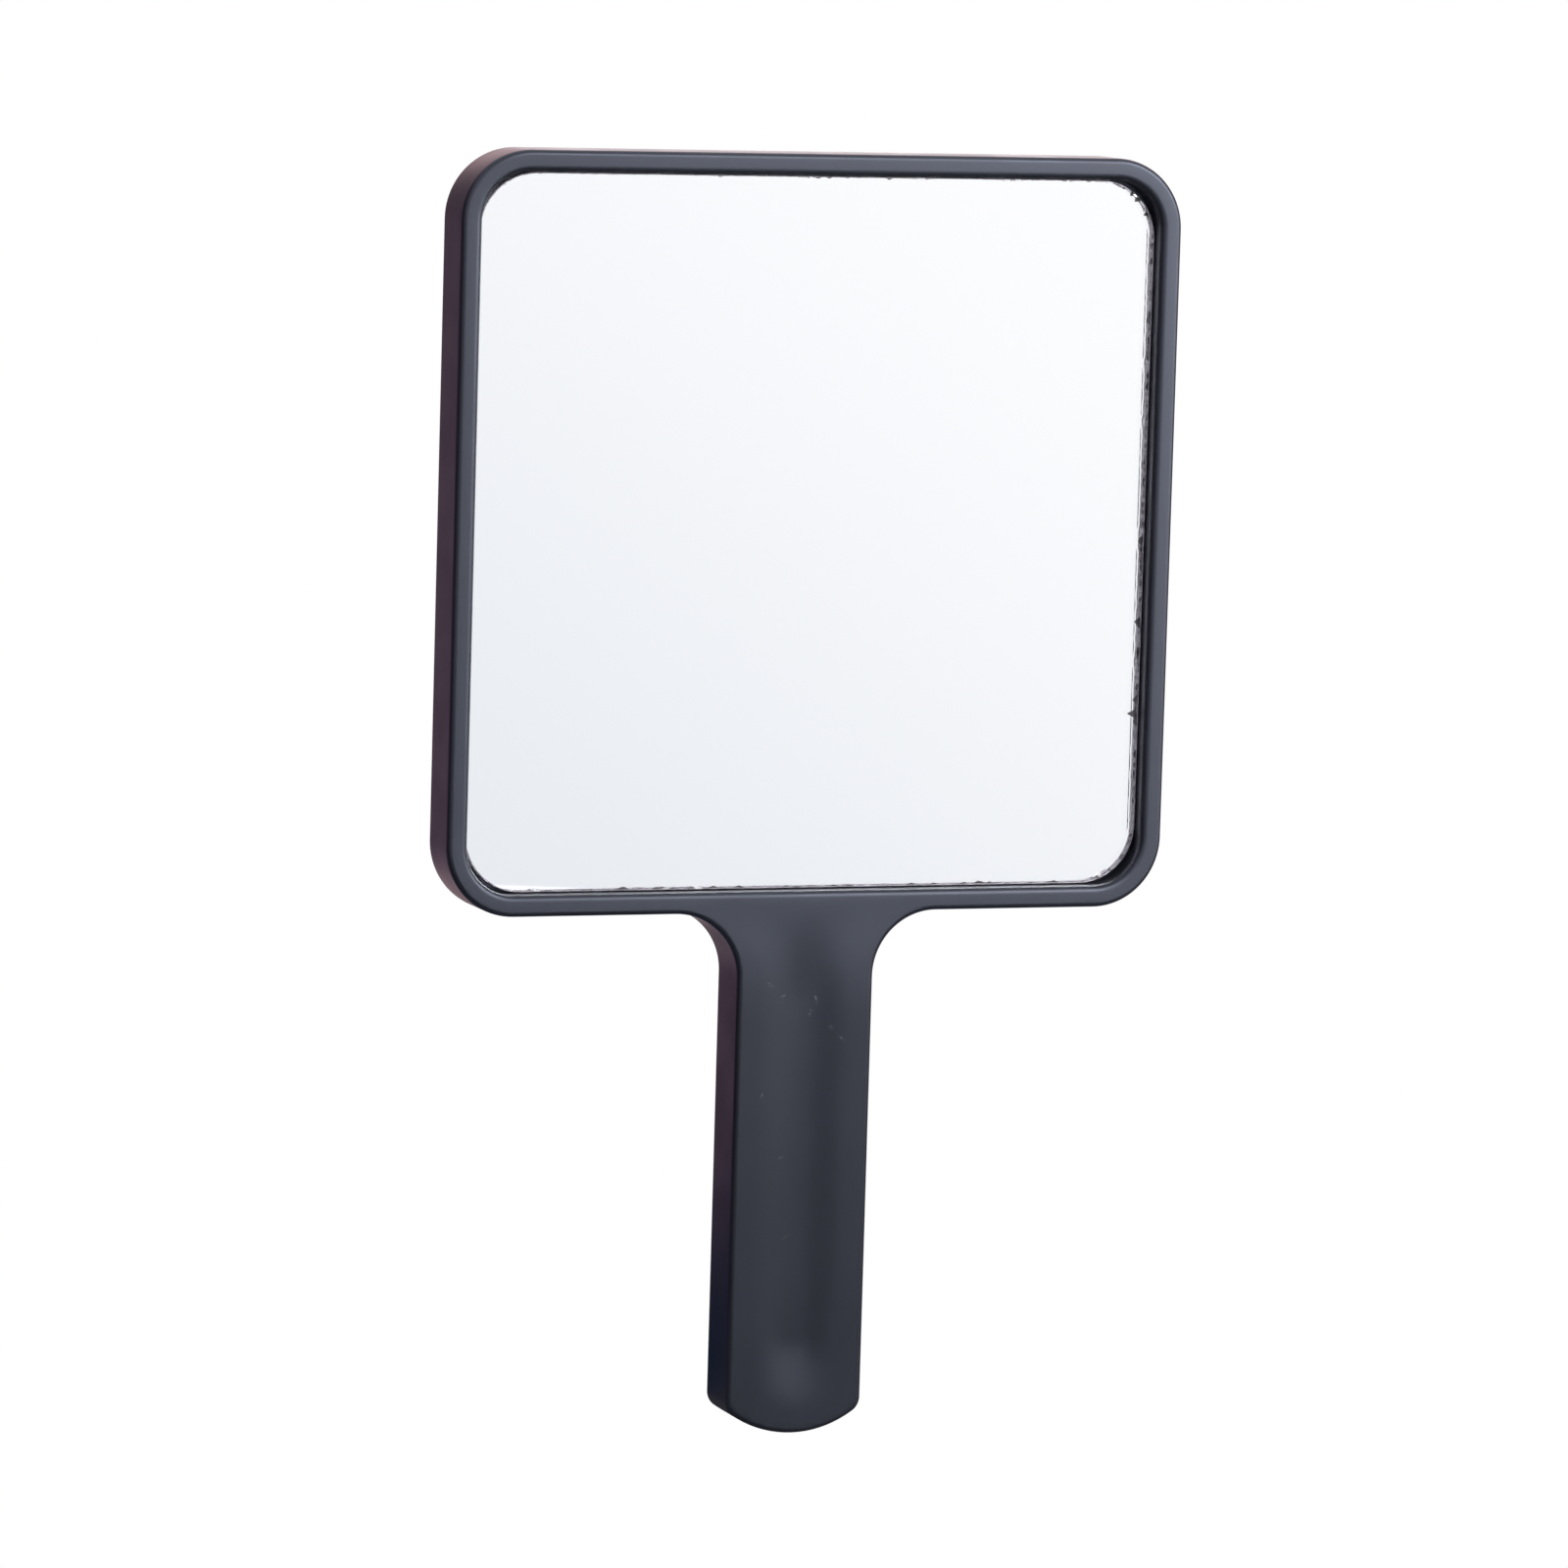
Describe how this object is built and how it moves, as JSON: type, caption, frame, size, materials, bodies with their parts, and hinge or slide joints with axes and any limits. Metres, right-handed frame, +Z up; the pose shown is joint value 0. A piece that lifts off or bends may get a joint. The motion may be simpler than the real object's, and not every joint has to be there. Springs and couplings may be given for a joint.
{
  "type": "hand mirror",
  "caption": "Square-headed salon hand mirror: recessed glass pane in a round-cornered black plastic frame that runs into a flat handle with a thumb scoop.",
  "frame": {"origin": "bottom centre of the bounding box: the middle of the handle's end, on the middle plane of the thickness", "axes": "+Z up along the handle to the head, -Y out of the mirror's face, +Y out of its back, +X to the viewer's right when facing the glass"},
  "size_m": [0.155, 0.0132, 0.2635],
  "materials": {
    "frame_plastic": "satin black ABS with a fine moulded texture",
    "float_glass": "clear float glass, polished faces, ground edges",
    "silver": "bright silver",
    "paint_film": "dull grey protective paint",
    "foam": "white closed-cell foam",
    "cover_plastic": "black ABS with a fine spark-eroded texture",
    "zinc_steel": "bright zinc plate",
    "plug_plastic": "soft matt black"
  },
  "bodies": {
    "root": {"frame": "frame_plastic", "mirror_glass": "float_glass", "silver_layer": "silver", "backing_paint": "paint_film", "foam_tape": "foam", "rear_cover": "cover_plastic", "cover_screws": "zinc_steel", "screw_plugs": "plug_plastic"}
  },
  "joints": []
}
